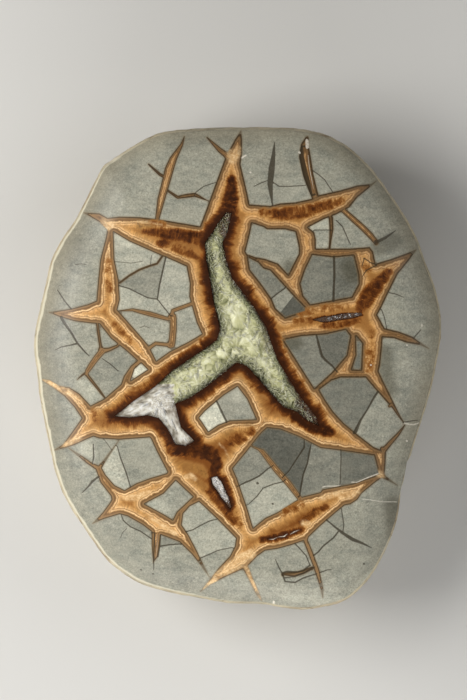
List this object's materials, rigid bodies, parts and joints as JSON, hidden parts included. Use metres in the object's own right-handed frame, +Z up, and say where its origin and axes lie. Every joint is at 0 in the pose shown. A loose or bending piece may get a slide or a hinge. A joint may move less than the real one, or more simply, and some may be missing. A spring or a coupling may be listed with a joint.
{
  "type": "septarian nodule",
  "caption": "Polished half of a septarian nodule, lying flat: grey limestone with a star of brown calcite veins around a crystal-lined hollow.",
  "frame": {"origin": "on the surface that the stone rests on, under the middle of its outline seen from above", "axes": "+Z up out of the polished face, +Y towards the tall pointed arm of the star, +X to the right seen from above"},
  "size_m": [0.1689, 0.2001, 0.056],
  "materials": {
    "limestone": "polished",
    "green_calcite": "clear crystal",
    "white_calcite": "clear crystal"
  },
  "bodies": {
    "root": {"nodule": "limestone", "seam_crystals": "green_calcite", "pocket_crystals": "white_calcite", "slit_crystals": "white_calcite"}
  },
  "joints": []
}
